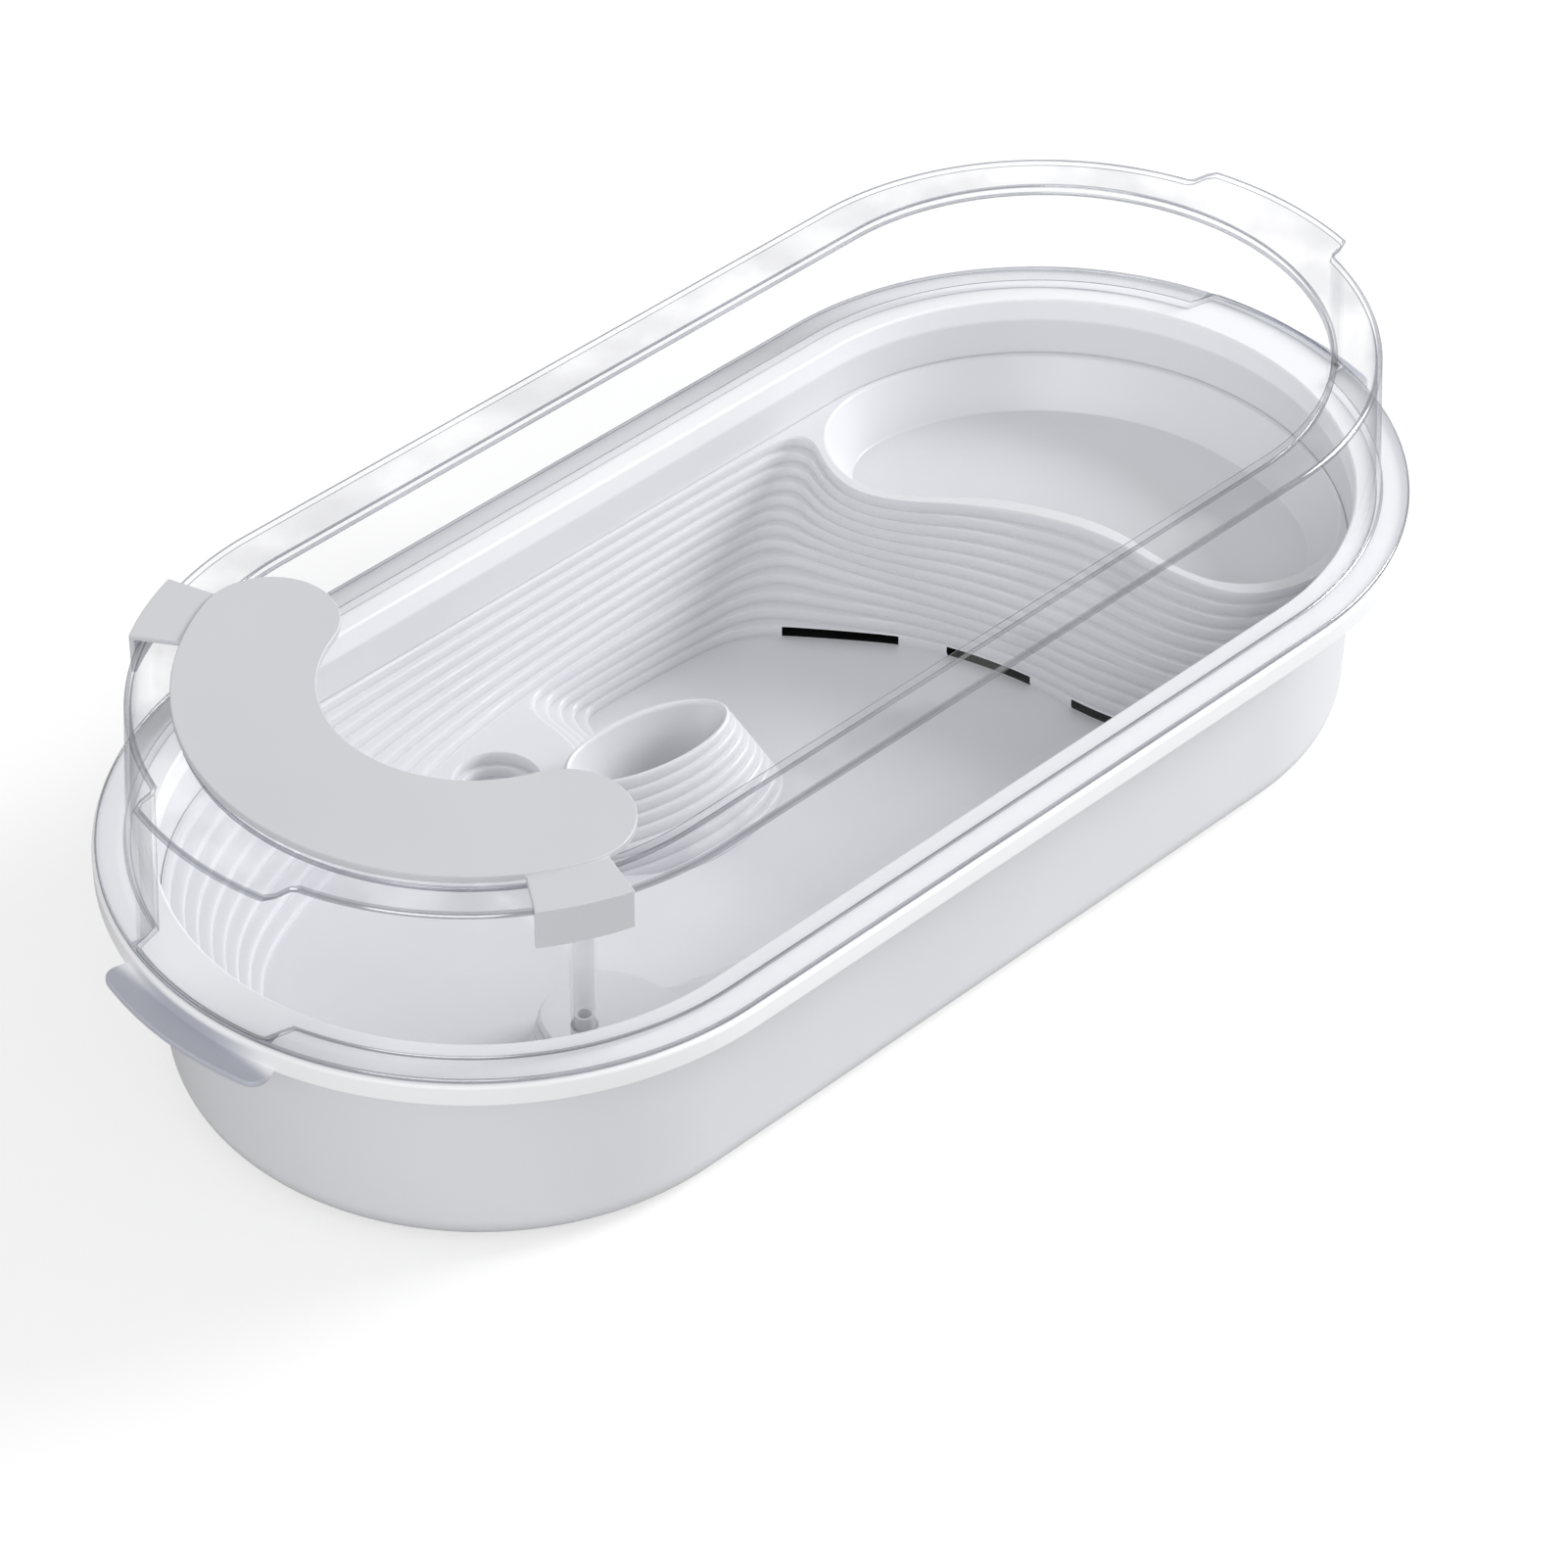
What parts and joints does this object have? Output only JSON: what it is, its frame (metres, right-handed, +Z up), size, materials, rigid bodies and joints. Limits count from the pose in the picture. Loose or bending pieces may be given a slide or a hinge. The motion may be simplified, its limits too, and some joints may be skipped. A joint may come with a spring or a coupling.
{
  "type": "turtle tank",
  "caption": "Oval plastic tank for turtles: a tub with a terraced pool insert, a clear guard round the rim, a half-ring shade cover and an overflow pipe.",
  "frame": {"origin": "middle of the tub's underside, on the surface that the tank stands on", "axes": "+X along the tank towards the tray end, +Z up, -Y the side nearest in the picture"},
  "size_m": [0.582, 0.2724, 0.16],
  "materials": {
    "tub": "satin white plastic",
    "terrain": "satin white plastic",
    "standpipe": "satin white plastic",
    "riser_tube": "clear plastic",
    "clear_guard": "clear glossy plastic",
    "shade_cover": "satin light grey plastic"
  },
  "bodies": {
    "root": {"tub": "tub", "terrain": "terrain", "standpipe": "standpipe", "riser_tube": "riser_tube", "clear_guard": "clear_guard", "shade_cover": "shade_cover"}
  },
  "joints": []
}
